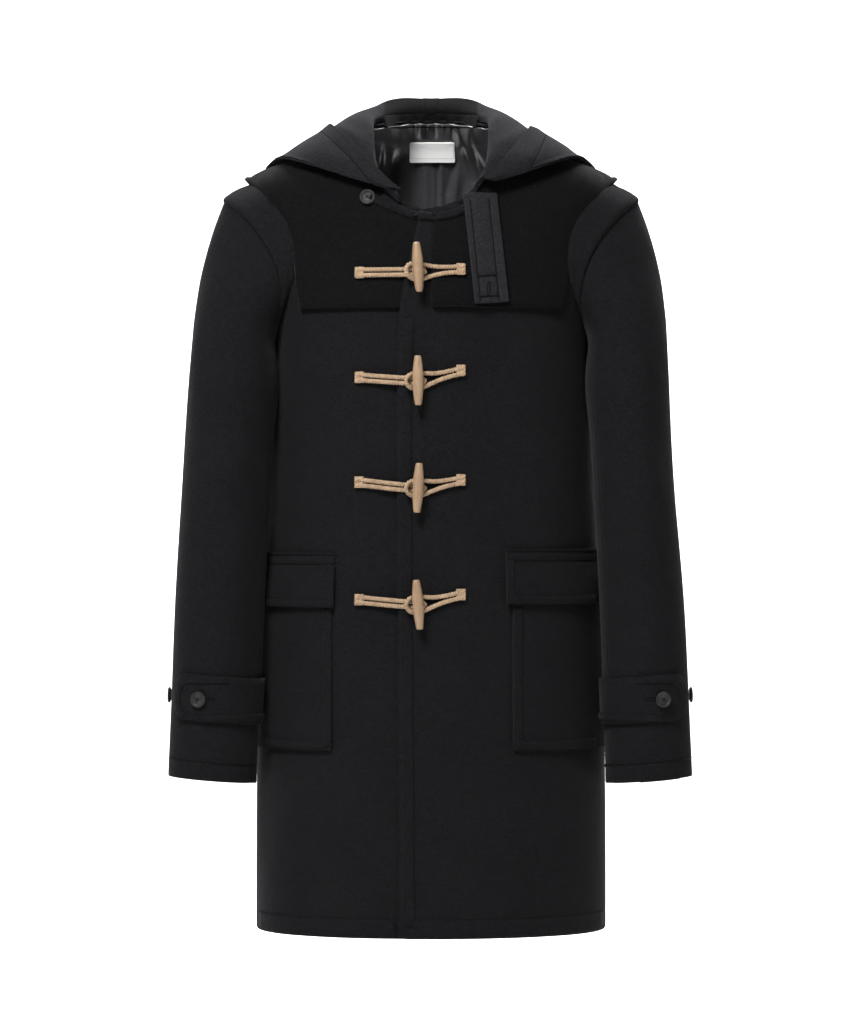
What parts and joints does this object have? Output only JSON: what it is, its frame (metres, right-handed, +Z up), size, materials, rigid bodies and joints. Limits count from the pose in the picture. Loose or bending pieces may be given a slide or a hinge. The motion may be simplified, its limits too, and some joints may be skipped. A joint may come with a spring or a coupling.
{
  "type": "duffle coat",
  "caption": "Knee-length hooded wool coat with wooden toggles on cord loops, patch pockets with flaps and strapped cuffs, shown filled out.",
  "frame": {"origin": "on the middle plane, level with the shoulders' neck points, halfway through the coat: where the wearer's shoulders and neck hold it", "axes": "+X towards the wearer's left, -Y out of the front, +Z up"},
  "size_m": [0.5952, 0.313, 0.9633],
  "materials": {
    "wool": "charcoal napped wool",
    "satin_lining": "grey satin",
    "label_cloth": "blank woven label",
    "jute_cord": "twisted jute",
    "pale_wood": "turned pale wood, matt",
    "dark_button": "dark horn-like button"
  },
  "bodies": {
    "root": {"front_left": "wool", "front_right": "wool", "back": "wool", "lining": "satin_lining", "yoke_left": "wool", "yoke_right": "wool", "armhole_band_left": "wool", "top_sleeve_left": "wool", "under_sleeve_left": "wool", "cuff_strap_left": "wool", "cuff_button_left_1": "dark_button", "cuff_button_left_2": "dark_button", "armhole_band_right": "wool", "top_sleeve_right": "wool", "under_sleeve_right": "wool", "cuff_strap_right": "wool", "cuff_button_right_1": "dark_button", "cuff_button_right_2": "dark_button", "hood_right": "wool", "hood_left": "wool", "hood_seam": "wool", "hood_button": "dark_button", "toggle_1": "pale_wood", "toggle_cord_1": "jute_cord", "loop_cord_1": "jute_cord", "toggle_2": "pale_wood", "toggle_cord_2": "jute_cord", "loop_cord_2": "jute_cord", "toggle_3": "pale_wood", "toggle_cord_3": "jute_cord", "loop_cord_3": "jute_cord", "toggle_4": "pale_wood", "toggle_cord_4": "jute_cord", "loop_cord_4": "jute_cord", "pocket_right": "wool", "pocket_flap_right": "wool", "pocket_left": "wool", "pocket_flap_left": "wool", "neck_band_left": "wool", "neck_band_right": "wool", "throat_tab": "wool", "label": "label_cloth"}
  },
  "joints": []
}
